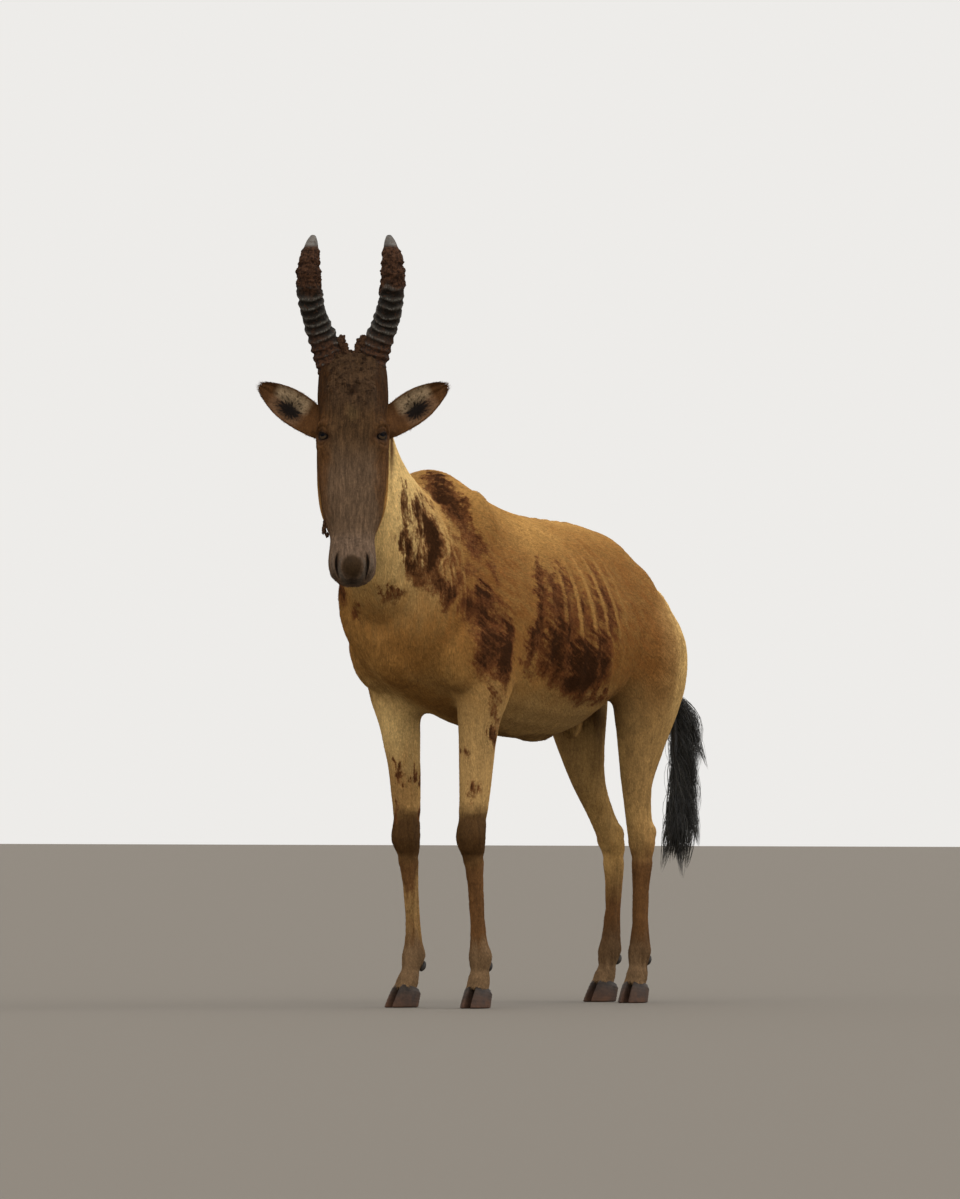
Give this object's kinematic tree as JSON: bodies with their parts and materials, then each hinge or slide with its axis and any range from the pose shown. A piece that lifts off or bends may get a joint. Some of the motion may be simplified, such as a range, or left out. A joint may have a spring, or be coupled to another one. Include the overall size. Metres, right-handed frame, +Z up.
{
  "type": "hartebeest",
  "caption": "A life-size, still model of a hartebeest bull that stands with its head turned, with ringed horns, a sloping back and a black tail tuft.",
  "frame": {"origin": "on the floor under the middle of the whole box, with the soles at z = 0", "axes": "+Z up; the animal's body faces -Y and its left side is +X"},
  "size_m": [0.427, 1.7878, 1.8014],
  "materials": {
    "coat": "short tawny hair, smeared with red-brown mud",
    "face_coat": "short grey-brown hair with dried mud",
    "black_hair": "long black hair",
    "horn": "ringed grey horn with mud",
    "hoof": "dull dark hoof",
    "eye": "wet and dark"
  },
  "bodies": {
    "root": {"dewclaw_foreleg_left_inner": "hoof", "dewclaw_foreleg_left_outer": "hoof", "dewclaw_foreleg_right_inner": "hoof", "dewclaw_foreleg_right_outer": "hoof", "dewclaw_hindleg_left_inner": "hoof", "dewclaw_hindleg_left_outer": "hoof", "dewclaw_hindleg_right_inner": "hoof", "dewclaw_hindleg_right_outer": "hoof", "ear_left": "coat", "ear_right": "coat", "eye_left": "eye", "eye_right": "eye", "foreleg_left_lower": "coat", "foreleg_left_upper": "coat", "foreleg_right_lower": "coat", "foreleg_right_upper": "coat", "head": "face_coat", "hindleg_left_lower": "coat", "hindleg_left_upper": "coat", "hindleg_right_lower": "coat", "hindleg_right_upper": "coat", "hoof_foreleg_left_inner": "hoof", "hoof_foreleg_left_outer": "hoof", "hoof_foreleg_right_inner": "hoof", "hoof_foreleg_right_outer": "hoof", "hoof_hindleg_left_inner": "hoof", "hoof_hindleg_left_outer": "hoof", "hoof_hindleg_right_inner": "hoof", "hoof_hindleg_right_outer": "hoof", "horn_left": "horn", "horn_right": "horn", "neck": "coat", "tail_dock": "coat", "tail_tuft": "black_hair", "torso_fore": "coat", "torso_hind": "coat"}
  },
  "joints": []
}
